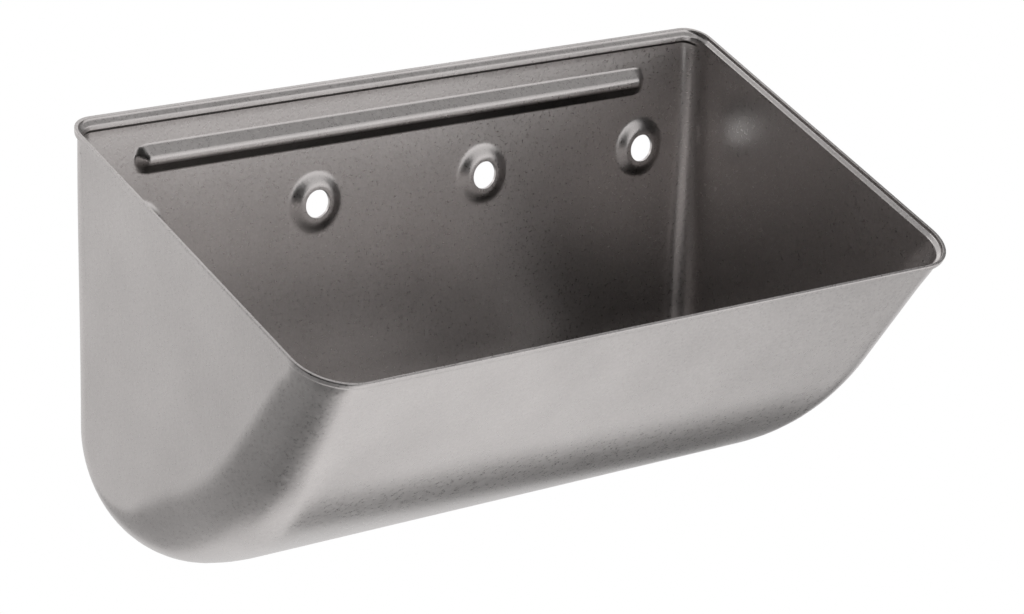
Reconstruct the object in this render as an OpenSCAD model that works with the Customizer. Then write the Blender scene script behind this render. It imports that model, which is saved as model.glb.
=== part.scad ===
// One-piece deep-drawn elevator bucket in sheet steel.
// x runs along the width, y points at the belt (the back face is y = 0, the lip is at -y),
// z is up. The origin is the middle of the bolt row on the back face. Lengths are in mm.

/* [Overall size] */
// Width over the lip, end to end
body_w = 300; // [200:1:400]
// Height of the back edge above the lowest point of the belly
body_h = 159; // [130:1:220]
// Projection: back face to the outermost front lip
body_d = 160; // [130:1:195]
// Thickness of the drawn sheet
sheet_t = 1.4; // [1:0.1:2]

/* [Side profile] */
// Slope of the mouth below horizontal, back to front, in degrees
mouth_ang = 20.3; // [16:0.1:25]
// Lean of the front wall from vertical, in degrees
front_ang = 34.2; // [28:0.1:41]
// Bend between back wall and belly, outside radius
heel_r = 44.5; // [36:0.5:54]
// Long bend of the belly into the front wall, outside radius
belly_r = 125; // [105:1:150]

/* [Corner radii] */
// Upright corners between back wall and end walls, outside
back_corner_r = 9; // [7:0.5:14]
// Corners between belly and end walls, outside
belly_corner_r = 32; // [24:0.5:39]
// Corners between front wall and end walls at the lip, outside
front_corner_r = 18.5; // [14:0.5:24]
// Where the corners are widest, as a share of the way round from back to front wall
wide_at = 0.63; // [0.4:0.01:0.8]

/* [Rim] */
// How far the lip is joggled out from the walls
lip_out = 1.4; // [1:0.1:2]
// Height of the straight lip above its joggle
lip_z = 1.8; // [1:0.1:4]
// Height of the joggle, and of the step under the ridge along the back
step_z = 1.6; // [1.4:0.1:2.5]
// Height of the flat top of the ridge along the back
ridge_land = 0.3; // [0.1:0.1:2]

/* [Stiffening bead] */
// Distance from the end of the lip to the rounded end of the bead
bead_margin = 28.5; // [24:0.5:45]
// Centreline of the bead below the back edge
bead_drop = 19; // [16:0.5:21]
// Height of the bead above the inner face of the back wall
bead_h = 3.6; // [2.5:0.1:4.5]
// Crest radius of the bead, inner face
bead_r = 4.6; // [4:0.1:6]
// Width of the flat along the crest of the bead
bead_flat = 0.8; // [0.4:0.1:2]
// Root radius of the bead, inner face
bead_root_r = 1.5; // [1:0.1:2.5]

/* [Bolt holes] */
// Spacing of the bolt holes
hole_pitch = 80; // [50:1:100]
// Least distance from the end of the lip to the centre of a hole
hole_margin = 30; // [28:1:60]
// Bolt row below the back edge
hole_drop = 46.5; // [42:0.5:60]
// Diameter of the bolt holes
hole_d = 11; // [9:0.1:13.5]
// Height of the dished boss into the bucket
boss_h = 2.2; // [1:0.1:3]
// Width of the boss top beyond the hole edge
boss_land = 1; // [0.5:0.1:2]
// Width of the boss slope from its top down to the wall
boss_slope = 6.25; // [4:0.25:9]

/* [Hidden] */
steel = [0.62, 0.61, 0.6];
$fn = 72;

// segment counts: heel bend, belly bend, front wall, corner arc, rim step, bead and boss arcs
n_heel = 14;
n_belly = 9;
n_front = 4;
n_corner = 9;
n_step = 5;
n_bead = 5;
n_boss = 6;

// half width of the end walls, outside, under the lip
wall_x = body_w / 2 - lip_out;
// where the outer face of the front wall meets the mouth
wall_d = body_d - lip_out * cos(mouth_ang) / cos(front_ang - mouth_ang);
lip_h = body_h - wall_d * tan(mouth_ang);

// unit vectors in the side view: [towards the front, up]
up_back = [0, 1];
up_front = [sin(front_ang), cos(front_ang)];
out_back = [-1, 0];
out_front = [cos(front_ang), -sin(front_ang)];
mouth_n = [sin(mouth_ang), cos(mouth_ang)];

// distance of the front wall from the corner of back and bottom, square to the wall
wall_off = out_front * [wall_d, lip_h];
// the heel stays tighter than a round that would touch back, bottom and front wall at once
lean_k = out_front * [1, 1];
heel_bend = min(heel_r, 0.95 * wall_off / (1 + lean_k));
// the belly bend stays wide enough to keep the bottom level with the heel
flat_k = sin(front_ang);
belly_bend = max(belly_r, (wall_off - heel_bend * (lean_k + flat_k)) / (1 - flat_k));

// heel bend and belly bend run tangent into each other at the angle join_a
heel_c = [heel_bend, heel_bend];
join_k = (wall_off - belly_bend - out_front * heel_c) / (heel_bend - belly_bend);
join_a = -front_ang - acos(join_k);
belly_c = heel_c + (heel_bend - belly_bend) * [cos(join_a), sin(join_a)];
belly_end = belly_c + belly_bend * out_front;
front_run = norm([wall_d, lip_h] - belly_end);

// developed length along the side profile, from the back bend to the lip
heel_len = heel_bend * (join_a + 180) * PI / 180;
belly_len = belly_bend * (-front_ang - join_a) * PI / 180;
round_len = heel_len + belly_len;
wide_len = wide_at * round_len;
total_len = round_len + front_run;

// stations along the side profile, rim of the back to rim of the front
stations = concat(
    [[0, 0, 0]],
    [for (i = [0 : n_heel]) [1, i / n_heel, heel_len * i / n_heel]],
    [for (i = [1 : n_belly]) [2, i / n_belly, heel_len + belly_len * i / n_belly]],
    [for (i = [1 : n_front]) [3, i / n_front, round_len + front_run * i / n_front]]
);
n_st = len(stations) - 1;

// height of the bolt row above the lowest point of the belly
hole_z = body_h - hole_drop;

// depths below the mouth: middle of the joggle, middle of the step under the ridge, plain wall
joggle_mid = lip_z + step_z / 2;
ridge_mid = joggle_mid + step_z + ridge_land;
// the inner face of a step lies this much higher or lower than its outer face
step_shift = sheet_t * tan(atan2(lip_out, step_z) / 2);
band_z = ridge_mid + step_z / 2 + 2 * step_shift + 0.6;

function smooth(t) = t * t * (3 - 2 * t);

// corner radius as it grows from the back to the belly and shrinks to the lip
function corner_r(s) =
    s < wide_len
    ? back_corner_r + (belly_corner_r - back_corner_r) * smooth(s / wide_len)
    : belly_corner_r + (front_corner_r - belly_corner_r) * (s - wide_len) / (total_len - wide_len);

// outward normal of the side profile at a station
function st_out(st) =
    st[0] == 0 ? out_back :
    st[0] == 1 ? [cos(-180 + st[1] * (join_a + 180)), sin(-180 + st[1] * (join_a + 180))] :
    st[0] == 2 ? [cos(join_a + st[1] * (-front_ang - join_a)), sin(join_a + st[1] * (-front_ang - join_a))] :
    out_front;

// point of the outer side profile at a station
function st_at(st) =
    st[0] == 0 ? [0, body_h] :
    st[0] == 1 ? heel_c + heel_bend * st_out(st) :
    st[0] == 2 ? belly_c + belly_bend * st_out(st) :
    belly_end + up_front * front_run * st[1];

// slide a point along a wall direction to the plane lying depth b under the mouth
function to_depth(p, up, b) = p + up * ((mouth_n * ([0, body_h] - p) - b) / (up * mouth_n));

// wall point in the side view: station, inset from the outer face, depth for the two rim rows
function wall_pt(i, inset) =
    i == 0 ? to_depth([inset, body_h], up_back, band_z) :
    i == n_st ? to_depth([wall_d, lip_h] - out_front * inset, up_front, band_z) :
    st_at(stations[i]) - st_out(stations[i]) * inset;

// one cross row of the skin lying t inside the outer face: left end, corner arc, corner arc, right end
function skin_row(i, t) =
    let (r = corner_r(stations[i][2]) - t)
    concat(
        [for (k = [n_corner : -1 : 0]) let (a = 90 * k / n_corner, p = wall_pt(i, t + r * (1 - cos(a))))
            [-(wall_x - t - r * (1 - sin(a))), -p[0], p[1] - hole_z]],
        [for (k = [0 : n_corner]) let (a = 90 * k / n_corner, p = wall_pt(i, t + r * (1 - cos(a))))
            [wall_x - t - r * (1 - sin(a)), -p[0], p[1] - hole_z]]
    );

// rim rows, wall to mouth: depth of the row, share of the lip offset, share of the back ridge
function rim_rows(shift) = concat(
    [for (i = [1 : n_step]) let (t = i / n_step)
        [ridge_mid + shift + step_z * (0.5 - t), 0, smooth(t)]],
    [for (i = [0 : n_step]) let (t = i / n_step)
        [joggle_mid - shift + step_z * (0.5 - t), smooth(t), 1]],
    [[0, 1, 1]]
);

// one loop point of the rim: end of the profile (0 back, 1 front), side, corner step, sheet inset
function rim_pt(front, side, k, t, row) =
    let (
        a = 90 * k / n_corner,
        r = (front ? front_corner_r : back_corner_r) - t,
        inset = t + r * (1 - cos(a)),
        up = front ? up_front : up_back,
        out = front ? out_front : out_back,
        base = front ? [wall_d, lip_h] - out_front * inset : [inset, body_h],
        ridge = front ? 0 : pow(cos(a), 2),
        move = lip_out * (row[1] - ridge * row[2]),
        p = to_depth(base + out * cos(a) * move, up, row[0])
    )
    [side * (wall_x - t - r * (1 - sin(a)) + move * sin(a)), -p[0], p[1] - hole_z];

// closed rim loop: back edge left to right, then front edge right to left
function rim_loop(t, row) = concat(
    [for (k = [n_corner : -1 : 0]) rim_pt(false, -1, k, t, row)],
    [for (k = [0 : n_corner]) rim_pt(false, 1, k, t, row)],
    [for (k = [n_corner : -1 : 0]) rim_pt(true, 1, k, t, row)],
    [for (k = [0 : n_corner]) rim_pt(true, -1, k, t, row)]
);

// index bookkeeping of the closed shell
row_n = 2 * (n_corner + 1);
skin_n = row_n * (n_st + 1);
loop_n = 2 * row_n;
band_n = len(rim_rows(0));
inner_0 = skin_n;
rim_out_0 = 2 * skin_n;
rim_in_0 = rim_out_0 + loop_n * band_n;

// skin point that continues rim loop position j
function edge_id(j) = j < row_n ? j : n_st * row_n + (2 * row_n - 1 - j);

// faces run clockwise seen from outside the steel
function quad(a, b, c, d, flip) = flip ? [[a, b, c], [a, c, d]] : [[a, c, b], [a, d, c]];

function skin_faces(first, flip) = [
    for (i = [0 : n_st - 1], j = [0 : row_n - 2])
        each quad(first + i * row_n + j, first + i * row_n + j + 1,
            first + (i + 1) * row_n + j + 1, first + (i + 1) * row_n + j, flip)
];

// the two flat end walls are one face each
function end_faces(first, flip) = [
    flip
    ? [for (i = [0 : n_st]) first + i * row_n]
    : [for (i = [n_st : -1 : 0]) first + i * row_n],
    flip
    ? [for (i = [n_st : -1 : 0]) first + i * row_n + row_n - 1]
    : [for (i = [0 : n_st]) first + i * row_n + row_n - 1]
];

function ring_faces(lower, upper, flip) = [
    for (j = [0 : loop_n - 1]) let (k = (j + 1) % loop_n)
        each quad(lower[j], lower[k], upper[k], upper[j], flip)
];

function loop_ids(first, n) = [for (j = [0 : loop_n - 1]) first + n * loop_n + j];

// sheet shell: outer skin, inner skin, joggled rim and trimmed edge
module shell() {
    outer_rows = rim_rows(0);
    inner_rows = rim_rows(step_shift);
    points = concat(
        [for (i = [0 : n_st]) each skin_row(i, 0)],
        [for (i = [0 : n_st]) each skin_row(i, sheet_t)],
        [for (row = outer_rows) each rim_loop(0, row)],
        [for (row = inner_rows) each rim_loop(sheet_t, row)]
    );
    edge_out = [for (j = [0 : loop_n - 1]) edge_id(j)];
    edge_in = [for (j = [0 : loop_n - 1]) inner_0 + edge_id(j)];
    faces = concat(
        skin_faces(0, false),
        end_faces(0, false),
        skin_faces(inner_0, true),
        end_faces(inner_0, true),
        ring_faces(edge_out, loop_ids(rim_out_0, 0), true),
        ring_faces(edge_in, loop_ids(rim_in_0, 0), false),
        [for (n = [0 : band_n - 2])
            each ring_faces(loop_ids(rim_out_0, n), loop_ids(rim_out_0, n + 1), true)],
        [for (n = [0 : band_n - 2])
            each ring_faces(loop_ids(rim_in_0, n), loop_ids(rim_in_0, n + 1), false)],
        ring_faces(loop_ids(rim_out_0, band_n - 1), loop_ids(rim_in_0, band_n - 1), true)
    );
    polyhedron(points, faces, convexity = 6);
}

// half section of the bead above the inner face; the offset gives the face on the belt side
function bead_half(off) =
    let (
        crest_c = [bead_flat / 2, bead_h - bead_r],
        root_y = bead_root_r - crest_c[1],
        root_x = crest_c[0] + sqrt(pow(bead_r + bead_root_r, 2) - pow(root_y, 2)),
        root_c = [root_x, bead_root_r],
        tip = atan2(root_y, root_x - crest_c[0])
    )
    concat(
        [[0, bead_h - off]],
        [for (i = [0 : n_bead]) let (a = 90 - (90 - tip) * i / n_bead)
            crest_c + (bead_r - off) * [cos(a), sin(a)]],
        [for (i = [1 : n_bead]) let (a = 180 + tip + (90 - tip) * i / n_bead)
            root_c + (bead_root_r + off) * [cos(a), sin(a)]]
    );
bead_out = bead_half(0);
bead_in = bead_half(sheet_t);
bead_run = body_w - 2 * bead_margin - 2 * bead_out[2 * n_bead + 1][0];
bead_z = hole_drop - bead_drop;

// straight bead with turned ends; section is closed down to the given depth
module bead_solid(half, floor_y) {
    edge_x = half[len(half) - 1][0];
    side = concat(half, [[edge_x, floor_y], [0, floor_y]]);
    translate([0, -sheet_t, bead_z])
        rotate([90, 0, 0]) {
            rotate([90, 0, 90])
                translate([0, 0, -bead_run / 2])
                    linear_extrude(bead_run)
                        union() {
                            polygon(side);
                            mirror([1, 0])
                                polygon(side);
                        }
            for (s = [-1, 1])
                translate([s * bead_run / 2, 0, 0])
                    rotate([0, 0, s > 0 ? -90 : 90])
                        rotate_extrude(angle = 180)
                            polygon(side);
        }
}

// side of the boss: a half wave from the flat top down to the wall
boss_top_r = hole_d / 2 + boss_land;
boss_side = [
    for (i = [0 : n_boss]) let (u = i / n_boss)
        [boss_top_r + boss_slope * u, boss_h * (1 + cos(180 * u)) / 2]
];

// turned boss body on the inner face, closed down to the given depth
module boss_solid(floor_y) {
    rotate([90, 0, 0])
        rotate_extrude()
            polygon(concat(
                [[0, floor_y], [0, boss_h]],
                boss_side,
                [[boss_top_r + boss_slope, floor_y]]
            ));
}

// the row holds as many holes as fit between the margins
hole_n = floor((body_w - 2 * hole_margin) / hole_pitch) + 1;
function hole_x(i) = (i - (hole_n - 1) / 2) * hole_pitch;

// the drawn bucket: one sheet with bead, dished bolt seats and holes
module bucket_body() {
    color(steel)
        difference() {
            union() {
                shell();
                bead_solid(bead_out, -sheet_t / 2);
                for (i = [0 : hole_n - 1])
                    translate([hole_x(i), -sheet_t, 0])
                        boss_solid(-sheet_t / 2);
            }
            bead_solid(bead_in, -2 * sheet_t);
            for (i = [0 : hole_n - 1])
                translate([hole_x(i), 0, 0])
                    boss_solid(-sheet_t);
            for (i = [0 : hole_n - 1])
                translate([hole_x(i), sheet_t, 0])
                    rotate([90, 0, 0])
                        cylinder(d = hole_d, h = 4 * sheet_t + boss_h);
        }
}

bucket_body();
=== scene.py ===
from math import acos, atan2, cos, hypot, pi, radians, sin, sqrt, tan

import bmesh
import bpy
from mathutils import Euler, Matrix, Vector


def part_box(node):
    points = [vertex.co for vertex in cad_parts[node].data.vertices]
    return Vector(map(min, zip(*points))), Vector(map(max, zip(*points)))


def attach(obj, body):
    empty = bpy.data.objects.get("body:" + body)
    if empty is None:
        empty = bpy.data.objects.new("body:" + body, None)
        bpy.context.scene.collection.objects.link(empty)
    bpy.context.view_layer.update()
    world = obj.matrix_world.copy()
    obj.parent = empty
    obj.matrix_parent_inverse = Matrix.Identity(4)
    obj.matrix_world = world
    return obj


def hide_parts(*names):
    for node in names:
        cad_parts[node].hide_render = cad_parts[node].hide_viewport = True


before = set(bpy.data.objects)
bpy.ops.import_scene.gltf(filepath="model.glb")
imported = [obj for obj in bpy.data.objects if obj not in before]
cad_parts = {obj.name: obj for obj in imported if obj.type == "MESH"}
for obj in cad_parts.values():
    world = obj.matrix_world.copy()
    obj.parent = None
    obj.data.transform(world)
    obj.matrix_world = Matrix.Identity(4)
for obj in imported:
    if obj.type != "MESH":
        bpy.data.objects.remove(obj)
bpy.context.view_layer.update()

# Camera.
# A long lens in front of the left end, a little above the mouth and a touch off level.
bpy.ops.object.camera_add(location=(-0.86479, -1.14427, 0.38733))
camera = bpy.context.object
camera.name = "catalogue_camera"
camera.data.lens = 135.67
camera.data.sensor_width = 36
camera_turn, camera_dip, camera_roll = radians(38.90), radians(16.84), radians(1.853)
aim = Euler((pi / 2 - camera_dip, 0, -camera_turn)).to_matrix()
camera.rotation_euler = (aim @ Matrix.Rotation(camera_roll, 3, "Z")).to_euler()
bpy.context.scene.camera = camera
bpy.context.scene.view_settings.view_transform = "Standard"

# Studio.
# The bucket hangs high above a white floor, inside a pale grey tent. Cards from black to grey
# stand just inside the tent and give the steel its dark sides, and four soft lamps light it.
aim_point = Vector((0, -0.075, -0.03))
tent_r = 1.15
tent_gap, lamp_gap = 0.05, 0.1
floor_size, floor_z = 12, -1.2


def toward(turn, rise, away):
    """The place this far from the bucket, turned from the belt side to the right end, and up."""
    turn, rise = radians(turn), radians(rise)
    way = Vector((sin(turn) * cos(rise), cos(turn) * cos(rise), sin(rise)))
    return aim_point + away * way


# The floor is plain white paper to the light, and pure white to the camera and in reflections.
bpy.ops.mesh.primitive_plane_add(size=floor_size, location=(0, 0, floor_z))
floor = bpy.context.object
floor.name = "white_floor"
bpy.ops.object.transform_apply(location=True, rotation=True, scale=True)
sweep = bpy.data.materials.new("white_sweep")
sweep.use_nodes = True
nodes, links = sweep.node_tree.nodes, sweep.node_tree.links
nodes.clear()
rays = nodes.new("ShaderNodeLightPath")
seen = None
for ray in ("Is Camera Ray", "Is Glossy Ray", "Is Transmission Ray"):
    either = nodes.new("ShaderNodeMath")
    either.operation = "MAXIMUM"
    links.new(rays.outputs[ray], either.inputs[0])
    if seen:
        links.new(seen, either.inputs[1])
    seen = either.outputs[0]
paper = nodes.new("ShaderNodeBsdfDiffuse")
paper.inputs["Color"].default_value = (0.8, 0.8, 0.8, 1)
white = nodes.new("ShaderNodeEmission")
pick = nodes.new("ShaderNodeMixShader")
sweep_out = nodes.new("ShaderNodeOutputMaterial")
links.new(seen, pick.inputs["Fac"])
links.new(paper.outputs[0], pick.inputs[1])
links.new(white.outputs[0], pick.inputs[2])
links.new(pick.outputs[0], sweep_out.inputs["Surface"])
floor.data.materials.append(sweep)

world = bpy.data.worlds.new("white_tent")
bpy.context.scene.world = world
world.use_nodes = True
world.node_tree.nodes["Background"].inputs["Color"].default_value = (1, 1, 1, 1)


def glow(card, grey):
    """Give a card an even grey; the camera looks through it, and it throws no shadow."""
    board = bpy.data.materials.new(card.name)
    board.use_nodes = True
    nodes, links = board.node_tree.nodes, board.node_tree.links
    nodes.clear()
    shade = nodes.new("ShaderNodeEmission")
    shade.inputs["Color"].default_value = (grey, grey, grey, 1)
    board_out = nodes.new("ShaderNodeOutputMaterial")
    links.new(shade.outputs[0], board_out.inputs["Surface"])
    card.data.materials.append(board)
    card.visible_camera = False
    card.visible_shadow = False


# Each card: the turns and the rises that it spans, in degrees, and its grey.
for name, turn_from, turn_to, rise_from, rise_to, grey in (
        ("tent", -180, 180, -90, 90, 0.84),
        ("top_card", -180, 180, 68, 90, 0.45),
        ("camera_card", -184, -88, -22, 68, 0.0),
        ("camera_low_card", -172, -88, -78, -22, 0.15),
        ("left_card", -88, -48, -76, 12, 0.29),
        ("left_high_card", -88, -60, 22, 68, 0.05),
        ("far_left_card", -48, -8, -62, -28, 0.45),
        ("right_card", 65, 112, 5, 42, 0.16),
        ("high_card", 104, 150, 42, 62, 0.28),
        ("edge_card", 53, 84, 43, 62, 0.18),
        ("front_card", 80, 130, -52, -20, 0.6),
        ("low_card", 50, 79, -74, -32, 0.09)):
    bpy.ops.mesh.primitive_grid_add(x_subdivisions=48, y_subdivisions=24, size=2)
    card = bpy.context.object
    card.name = name
    away = tent_r + tent_gap if name == "tent" else tent_r
    for v in card.data.vertices:
        turn = turn_from + (turn_to - turn_from) * (v.co.x + 1) / 2
        rise = rise_from + (rise_to - rise_from) * (v.co.y + 1) / 2
        v.co = toward(turn, rise, away)
    glow(card, grey)

# Each lamp: its turn and rise in degrees, width in metres and power in watts.
for name, turn, rise, size, energy in (
        ("low_lamp", 104, -65, 0.7, 0.3),
        ("front_lamp", 146, 0, 0.9, 0.7),
        ("high_lamp", -40, 34, 0.5, 0.8),
        ("back_lamp", 41, 32, 0.4, 0.3)):
    lamp_at = toward(turn, rise, tent_r - lamp_gap)
    bpy.ops.object.light_add(type="AREA", location=lamp_at)
    lamp = bpy.context.object
    lamp.name = name
    lamp.data.size = size
    lamp.data.energy = energy
    lamp.rotation_euler = (lamp_at - aim_point).to_track_quat("Z", "Y").to_euler()

# Bucket body.
# One blank of steel sheet, deep drawn in a press to a seamless scoop, then trimmed and joggled
# along the mouth. The outer and the inner face of the sheet are pressed one after the other.
low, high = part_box("bucket_body")
body_w, body_d, body_h = high - low
sheet_t = 0.0014
mouth_ang, front_ang = radians(20.3), radians(34.2)
heel_r, belly_r = 0.0445, 0.125
back_corner_r, heel_corner_r, belly_corner_r, front_corner_r = 0.009, 0.012, 0.032, 0.0185
wide_at = 0.63
lip_out, lip_z, step_z = 0.0014, 0.0018, 0.0016
ridge_land, ridge_step, ridge_rise, wall_gap = 0.0003, 0.002, 0.0009, 0.0006

# The side profile, as depth from the belt and height above the lowest line of the belly. It runs
# down the back wall, round the heel and the belly, and up the leaning front wall.
wall_x = body_w / 2 - lip_out
wall_d = body_d - lip_out * cos(mouth_ang) / cos(front_ang - mouth_ang)
lip_h = body_h - wall_d * tan(mouth_ang)
mouth_n = Vector((sin(mouth_ang), cos(mouth_ang)))
up_back, up_front = Vector((0, 1)), Vector((sin(front_ang), cos(front_ang)))
out_back, out_front = Vector((-1, 0)), Vector((cos(front_ang), -sin(front_ang)))
back_top, front_top = Vector((0, body_h)), Vector((wall_d, lip_h))

heel_centre = Vector((heel_r, heel_r))
join_cos = (out_front.dot(front_top - heel_centre) - belly_r) / (heel_r - belly_r)
join_turn = -front_ang - acos(join_cos)
belly_centre = heel_centre + (heel_r - belly_r) * Vector((cos(join_turn), sin(join_turn)))
belly_end = belly_centre + belly_r * out_front
front_run = (front_top - belly_end).length
heel_len = heel_r * (join_turn + pi)
round_len = heel_len + belly_r * (-front_ang - join_turn)
wide_len = wide_at * round_len

# Depths of the rim below the mouth: the joggle, then the ridge that only the back has. Each step
# lies a little higher or lower on the inner face than on the outer, so the sheet stays even.
joggle_mid = lip_z + step_z / 2
ridge_mid = joggle_mid + step_z / 2 + ridge_land + ridge_step / 2
step_shift = sheet_t * tan(atan2(lip_out, step_z) / 2)
ridge_shift = sheet_t * tan(atan2(lip_out, ridge_step) / 2)
band_z = ridge_mid + ridge_step / 2 + 2 * ridge_shift + wall_gap


def ease(t):
    """A soft start and a soft stop between 0 and 1."""
    return t * t * (3 - 2 * t)


def corner_at(run):
    """Outer radius of the side corner, this far along the bends and up the front wall."""
    if run < wide_len:
        return heel_corner_r + (belly_corner_r - heel_corner_r) * ease(run / wide_len)
    narrowing = (run - wide_len) / (round_len + front_run - wide_len)
    return belly_corner_r + (front_corner_r - belly_corner_r) * narrowing


def slide(p, up, depth):
    """The place straight up or down the wall from p that lies this deep below the mouth."""
    return p + up * ((mouth_n.dot(back_top - p) - depth) / up.dot(mouth_n))


# Pressed features of the back wall: one long stiffening bead with round ends, and a dished
# seat round each bolt hole. Both stand into the bucket, so that the bolt heads clear the belt.
hole_drop, hole_pitch, hole_r = 0.0465, 0.080, 0.0055
hole_xs = [hole_pitch * (i - 1.5) for i in range(4)]
seat_h, seat_top_r, seat_slope = 0.0022, 0.0065, 0.00625
seat_r = seat_top_r + seat_slope
bead_drop, bead_margin = 0.019, 0.0285
bead_h, bead_r, bead_root_r, bead_flat = 0.0036, 0.003, 0.0016, 0.0006
bead_slope = radians(42.6)
bead_z = hole_drop - bead_drop
bead_half = (bead_flat / 2 + (bead_r + bead_root_r) * tan(bead_slope / 2)
             + bead_h / tan(bead_slope))
bead_end = body_w / 2 - bead_margin - bead_half


def bead_lift(x, z, inset):
    """Height of the bead off the back wall, on the face this far inside the outer one."""
    away = hypot(max(0, abs(x) - bead_end), z - bead_z)
    crest, root = bead_r - sheet_t + inset, bead_root_r + sheet_t - inset
    crest_centre = bead_h - crest
    slope_from = bead_flat / 2 + crest * sin(bead_slope)
    slope_to = bead_half - root * sin(bead_slope)
    if away < bead_flat / 2:
        return bead_h
    if away < slope_from:
        return crest_centre + sqrt(crest ** 2 - (away - bead_flat / 2) ** 2)
    if away < slope_to:
        return crest_centre + crest * cos(bead_slope) - (away - slope_from) * tan(bead_slope)
    if away < bead_half:
        return root - sqrt(root ** 2 - (bead_half - away) ** 2)
    return 0


def seat_lift(x, z):
    """Height of the bolt seats off the back wall."""
    away = min(hypot(x - hole_x, z) for hole_x in hole_xs)
    fall = min(1, max(0, (away - seat_top_r) / seat_slope))
    return seat_h * (1 + cos(pi * fall)) / 2


# The press grid. Its rows run round the side profile, from the back rim to the front rim, and
# its columns from end wall to end wall. Both lie close together where the sheet bends.
n_step, n_corner, n_heel, n_belly, n_front = 8, 14, 26, 18, 6
n_bead, n_seat, n_end_seat, n_below = 8, 34, 58, 4

# Where the sheet is plain, single rows and columns are enough: next to the bead, below the seats,
# up to a little under the front rim, between the seats, and past the outer ones.
bead_clear, below_seats, below_pitch, front_stop = 0.0085, -0.022, 0.012, 0.009
middle_xs, between_xs, end_gap = [0, 0.009, 0.018, 0.025], [0.062, 0.072, 0.084, 0.096], 0.004


def spread(start, stop, steps):
    """Even places from start to stop, both included."""
    return [start + (stop - start) * i / steps for i in range(steps + 1)]


def rim_rows(inner_face):
    """Rows of the rim from the trimmed edge down: depth, share of joggle and share of ridge."""
    rows = [(0, 1, 1)]
    for t in spread(1, 0, n_step):
        rows.append((joggle_mid - inner_face * step_shift + step_z * (0.5 - t), ease(t), 1))
    for t in spread(1, 0, n_step)[:-1]:
        rows.append((ridge_mid + inner_face * ridge_shift + ridge_step * (0.5 - t), 0, ease(t)))
    return rows + [(band_z, 0, 0)]


# Rows of the back wall, from the top down: across the bead, across the seats, and below them.
crest_steps = [bead_flat / 2 + bead_r * sin(a) for a in spread(0, bead_slope, n_bead)]
root_steps = [bead_half - bead_root_r * sin(a) for a in spread(bead_slope, 0, n_bead)]
bead_steps = crest_steps + [(crest_steps[-1] + root_steps[0]) / 2] + root_steps + [bead_clear]
back_zs = [bead_z + step for step in reversed(bead_steps)]
back_zs += [bead_z - step for step in bead_steps]
back_zs += spread(seat_r, -seat_r, n_seat)
back_zs += [below_seats - below_pitch * i for i in range(n_below)]

# Columns of the flat middle, as shares of its half width. The outer seats have more of them,
# because the round ends of the bead lie above those seats.
inner_x, outer_x = hole_xs[2:]
half_xs = middle_xs + spread(inner_x - seat_r, inner_x + seat_r, n_seat)
half_xs += between_xs + spread(outer_x - seat_r, outer_x + seat_r, n_end_seat)
half_xs += [outer_x + seat_r + end_gap]
shares = [x / (wall_x - back_corner_r) for x in half_xs]
across = [(-1, share) for share in reversed(shares[1:])] + [(1, share) for share in shares]
n_cols = len(across) + 2 * (n_corner + 1)


def column(c):
    """Side of the bucket, angle round the corner, and share of the half width, of one column."""
    right_corner = n_cols - 1 - n_corner
    if c <= n_corner:
        return -1, pi / 2 * (n_corner - c) / n_corner, 1
    if c >= right_corner:
        return 1, pi / 2 * (c - right_corner) / n_corner, 1
    side, share = across[c - n_corner - 1]
    return side, 0, share


# Each kind of row gives a point of the side profile, the radius of its corner, and how far the
# joggle pushes it towards the end wall: at an angle round the corner, on the face at this inset.
def back_rim(row, angle, inset):
    """Rim along the back: the joggle turns into a ridge as the corner runs into the wall."""
    depth, joggle, ridge = row
    flat_part = cos(angle) ** 2
    corner_r = back_corner_r - inset
    push = lip_out * (joggle - flat_part * ridge)
    if 0 < depth < band_z:
        depth -= ridge_rise * flat_part
    wall = back_top - out_back * (inset + corner_r * (1 - cos(angle)))
    return slide(wall + out_back * cos(angle) * push, up_back, depth), corner_r, push * sin(angle)


def back_wall(z, angle, inset):
    """Straight back wall, whose corners open a little towards the heel."""
    fall = (back_zs[0] - z) / (back_zs[0] + body_h - hole_drop - heel_r)
    corner_r = back_corner_r + (heel_corner_r - back_corner_r) * ease(fall) - inset
    return Vector((inset + corner_r * (1 - cos(angle)), z + body_h - hole_drop)), corner_r, 0


def bend(run, angle, inset):
    """Heel, then the long bend of the belly, this far along."""
    corner_r = corner_at(run) - inset
    if run < heel_len:
        centre, bend_r, turn = heel_centre, heel_r, -pi + run / heel_r
    else:
        centre, bend_r, turn = belly_centre, belly_r, join_turn + (run - heel_len) / belly_r
    out = Vector((cos(turn), sin(turn)))
    return centre + (bend_r - inset - corner_r * (1 - cos(angle))) * out, corner_r, 0


def front_wall(share, angle, inset):
    """Straight front wall, from the belly to a little under the rim."""
    run = share * (front_run - front_stop)
    corner_r = corner_at(round_len + run) - inset
    wall = belly_end + up_front * run
    return wall - out_front * (inset + corner_r * (1 - cos(angle))), corner_r, 0


def front_rim(row, angle, inset):
    """Rim along the front, joggled outwards all the way and without a ridge."""
    depth, joggle, _ = row
    corner_r = front_corner_r - inset
    push = lip_out * joggle
    wall = front_top - out_front * (inset + corner_r * (1 - cos(angle)))
    return slide(wall + out_front * cos(angle) * push, up_front, depth), corner_r, push * sin(angle)


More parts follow.
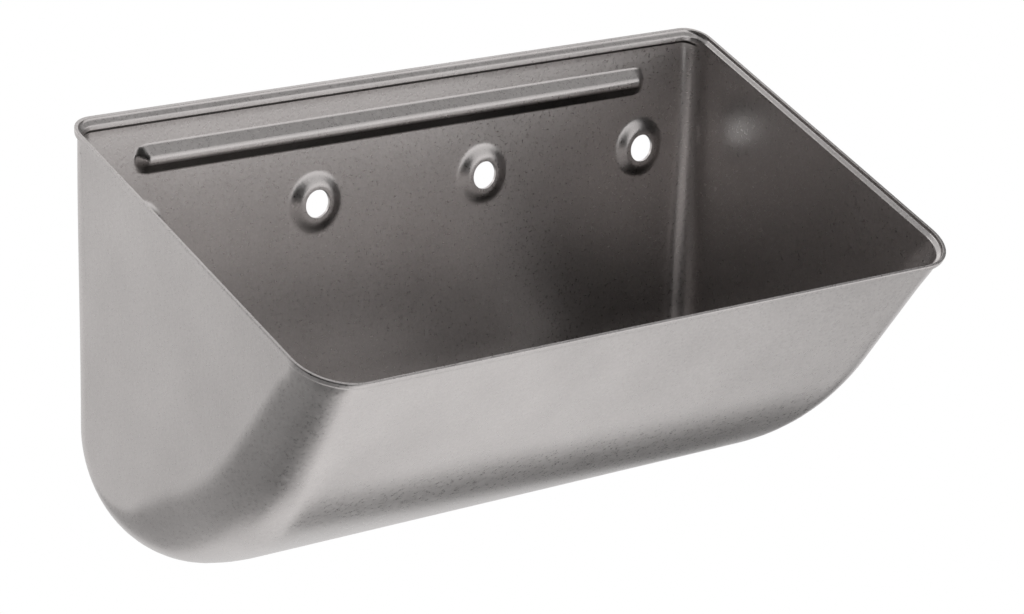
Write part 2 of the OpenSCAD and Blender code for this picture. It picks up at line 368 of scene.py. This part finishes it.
def press_face(name, inset):
    """One face of the drawn sheet, lying this far inside the outer face."""
    rim = rim_rows(inset > 0)
    rows = [(back_rim, row) for row in rim]
    rows += [(back_wall, z) for z in back_zs]
    rows += [(bend, run) for run in spread(0, heel_len, n_heel)]
    rows += [(bend, run) for run in spread(heel_len, round_len, n_belly)[1:]]
    rows += [(front_wall, share) for share in spread(0, 1, n_front)[1:-1]]
    rows += [(front_rim, row) for row in reversed(rim)]
    bpy.ops.object.select_all(action="DESELECT")
    bpy.ops.mesh.primitive_grid_add(x_subdivisions=n_cols - 1, y_subdivisions=len(rows) - 1, size=1)
    face = bpy.context.object
    face.name = name
    for v in face.data.vertices:
        kind, place = rows[v.index // n_cols]
        side, angle, share = column(v.index % n_cols)
        p, corner_r, push_x = kind(place, angle, inset)
        x = (wall_x - inset - corner_r * (1 - sin(angle)) + push_x) * share
        lift = 0
        if kind is back_wall and angle == 0:
            lift = bead_lift(x, place, inset) + seat_lift(x, place)
        v.co = (side * x, -p.x - lift, p.y - body_h + hole_drop)
    return face


outer = press_face("outer_face", 0)
inner = press_face("inner_face", sheet_t)
n_points = len(outer.data.vertices)
n_rows = n_points // n_cols
n_rim = len(rim_rows(False))

# The flat ends: a narrow face for each pair of rim rows, then one large face below the rim.
rings = [[i, i + 1, n_rows - 2 - i, n_rows - 1 - i] for i in range(n_rim - 1)]
rings.append(list(range(n_rim - 1, n_rows - n_rim + 1)))
for face in (outer, inner):
    bm = bmesh.new()
    bm.from_mesh(face.data)
    bm.verts.ensure_lookup_table()
    for end in (0, n_cols - 1):
        for ring in rings:
            corners = [bm.verts[row * n_cols + end] for row in ring]
            bm.faces.new(corners if end == 0 else reversed(corners))
    bm.to_mesh(face.data)
    bm.free()

# Both faces are joined along the trimmed edge. The trimming die rolls the outer edge over, save
# along the back, and leaves the inner one nearly sharp.
bpy.ops.object.select_all(action="DESELECT")
inner.select_set(True)
bpy.context.view_layer.objects.active = inner
bpy.ops.object.mode_set(mode="EDIT")
bpy.ops.mesh.select_all(action="SELECT")
bpy.ops.mesh.flip_normals()
bpy.ops.object.mode_set(mode="OBJECT")
outer.select_set(True)
bpy.context.view_layer.objects.active = outer
bpy.ops.object.join()
bucket = bpy.context.object
bucket.name = "drawn_bucket"
bpy.ops.object.mode_set(mode="EDIT")
bpy.ops.mesh.select_mode(type="EDGE")
bpy.ops.mesh.select_all(action="DESELECT")
bpy.ops.mesh.select_non_manifold(extend=False, use_wire=False, use_multi_face=False,
                                 use_verts=False)
bpy.ops.mesh.bridge_edge_loops()
bpy.ops.object.mode_set(mode="OBJECT")
edge_r, sharp_share = 0.0006, 0.25
roll = bucket.data.attributes.new("bevel_weight_edge", "FLOAT", "EDGE")
for edge in bucket.data.edges:
    rows = {v % n_points // n_cols for v in edge.vertices}
    on_inner = {v >= n_points for v in edge.vertices}
    if rows <= {0, n_rows - 1} and len(on_inner) == 1:
        sharp = on_inner == {True} or rows == {0}
        roll.data[edge.index].value = sharp_share if sharp else 1
rolled_edge = bucket.modifiers.new("rolled_edge", "BEVEL")
rolled_edge.width = edge_r
rolled_edge.segments = 6
rolled_edge.limit_method = "WEIGHT"
bpy.ops.object.modifier_apply(modifier="rolled_edge")

# Bolt holes, punched through the dished seats. The punch widens at both faces of the sheet, which
# leaves a fine chamfer on each, and runs on past them.
chamfer, flare = 0.00015, 0.001
flare_r = hole_r + chamfer + flare
outer_land, inner_land = -seat_h, -seat_h - sheet_t
punch_start = outer_land + flare
punch_steps = ((outer_land - chamfer, hole_r), (inner_land + chamfer, hole_r),
               (inner_land - flare, flare_r))
for hole_x in hole_xs:
    bpy.ops.object.select_all(action="DESELECT")
    bpy.ops.mesh.primitive_circle_add(vertices=72, radius=flare_r, fill_type="NGON",
                                      location=(hole_x, punch_start, 0), rotation=(pi / 2, 0, 0))
    punch = bpy.context.object
    bpy.ops.object.transform_apply(location=True, rotation=True, scale=True)
    bpy.ops.object.mode_set(mode="EDIT")
    bpy.ops.mesh.select_all(action="SELECT")
    y, r = punch_start, flare_r
    for next_y, next_r in punch_steps:
        bpy.ops.mesh.extrude_region_move(TRANSFORM_OT_translate={"value": (0, next_y - y, 0)})
        bpy.ops.transform.resize(value=(next_r / r, 1, next_r / r),
                                 center_override=(hole_x, next_y, 0))
        y, r = next_y, next_r
    bpy.ops.mesh.select_all(action="SELECT")
    bpy.ops.mesh.normals_make_consistent(inside=False)
    bpy.ops.object.mode_set(mode="OBJECT")
    hole = bucket.modifiers.new("hole", "BOOLEAN")
    hole.operation = "DIFFERENCE"
    hole.solver = "EXACT"
    hole.object = punch
    bpy.ops.object.select_all(action="DESELECT")
    bucket.select_set(True)
    bpy.context.view_layer.objects.active = bucket
    bpy.ops.object.modifier_apply(modifier="hole")
    bpy.data.objects.remove(punch)

bpy.ops.object.shade_smooth_by_angle(angle=radians(38))
even = bucket.modifiers.new("even", "WEIGHTED_NORMAL")
even.keep_sharp = True
bpy.ops.object.modifier_apply(modifier="even")

# Satin steel.
# Cold-rolled sheet, cleaned after drawing: grey, softly shining, with a fine mottled grain.
# Painted shade darkens the steel where it faces down under the ledges of the back wall.
metal_dark, metal_light = (0.532, 0.506, 0.498), (0.586, 0.558, 0.549)
grain_dark, grain_light = (0.86, 0.86, 0.86), (1.12, 1.12, 1.12)
shiny, dull = (0.24, 0.24, 0.24), (0.38, 0.38, 0.38)
# Colour of the painted shade under the bead, the ridge and the seats.
painted_shade = (0.11, 0.105, 0.10, 1)

steel = bpy.data.materials.new("satin_steel")
steel.use_nodes = True
nodes, links = steel.node_tree.nodes, steel.node_tree.links
surface = nodes["Principled BSDF"]
surface.inputs["Metallic"].default_value = 1
coords = nodes.new("ShaderNodeTexCoord")


def noise(scale, detail, rough):
    """A pattern of spots that stays with the bucket."""
    spots = nodes.new("ShaderNodeTexNoise")
    spots.inputs["Scale"].default_value = scale
    spots.inputs["Detail"].default_value = detail
    spots.inputs["Roughness"].default_value = rough
    links.new(coords.outputs["Object"], spots.inputs["Vector"])
    return spots.outputs["Fac"]


def ramp(source, start, stop, start_color, stop_color):
    """A blend from one colour to the other as the source goes from start to stop."""
    blend = nodes.new("ShaderNodeValToRGB")
    first, last = blend.color_ramp.elements
    first.position = start
    first.color = (*start_color, 1)
    last.position = stop
    last.color = (*stop_color, 1)
    links.new(source, blend.inputs["Fac"])
    return blend.outputs["Color"]


def reach(source, start, stop):
    """0 before start and 1 past stop, whether the source rises or falls between them."""
    fade = nodes.new("ShaderNodeMapRange")
    fade.inputs["From Min"].default_value = start
    fade.inputs["From Max"].default_value = stop
    links.new(source, fade.inputs["Value"])
    return fade.outputs["Result"]


def mix(kind, share, base, top):
    """One colour laid over another; share, base and top are each a value or a socket."""
    layers = nodes.new("ShaderNodeMixRGB")
    layers.blend_type = kind
    for socket, value in zip(layers.inputs, (share, base, top)):
        if isinstance(value, (int, float, tuple)):
            socket.default_value = value
        else:
            links.new(value, socket)
    return layers.outputs["Color"]


cloud = noise(28, 3, 0.55)
grain = noise(620, 4, 0.75)
metal = ramp(cloud, 0.3, 0.7, metal_dark, metal_light)
metal = mix("MULTIPLY", 1, metal, ramp(grain, 0.25, 0.75, grain_dark, grain_light))

# The painted shade lies where the sheet faces down, close to the inside of the back wall, from
# below the seats up. Each pair of limits says where it begins and where it is full.
ledge_from, ledge_to = -0.2, -0.55
shade_limits = (("Y", -0.0075, -0.007), ("Y", -0.001, -0.0014), ("Z", -0.03, -0.028))
spot, facing = nodes.new("ShaderNodeSeparateXYZ"), nodes.new("ShaderNodeSeparateXYZ")
links.new(coords.outputs["Object"], spot.inputs[0])
links.new(coords.outputs["Normal"], facing.inputs[0])
shade_share = reach(facing.outputs["Z"], ledge_from, ledge_to)
for axis, limit_from, limit_to in shade_limits:
    both = nodes.new("ShaderNodeMath")
    both.operation = "MULTIPLY"
    links.new(shade_share, both.inputs[0])
    links.new(reach(spot.outputs[axis], limit_from, limit_to), both.inputs[1])
    shade_share = both.outputs[0]
# The painted shade is laid over the steel's colour here.
links.new(mix("MIX", shade_share, metal, painted_shade), surface.inputs["Base Color"])
links.new(ramp(grain, 0.3, 0.7, shiny, dull), surface.inputs["Roughness"])
bump = nodes.new("ShaderNodeBump")
bump.inputs["Strength"].default_value = 0.18
bump.inputs["Distance"].default_value = 0.0002
links.new(noise(900, 1, 0.5), bump.inputs["Height"])
links.new(bump.outputs["Normal"], surface.inputs["Normal"])
bucket.data.materials.append(steel)

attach(bucket, "root")
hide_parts("bucket_body")
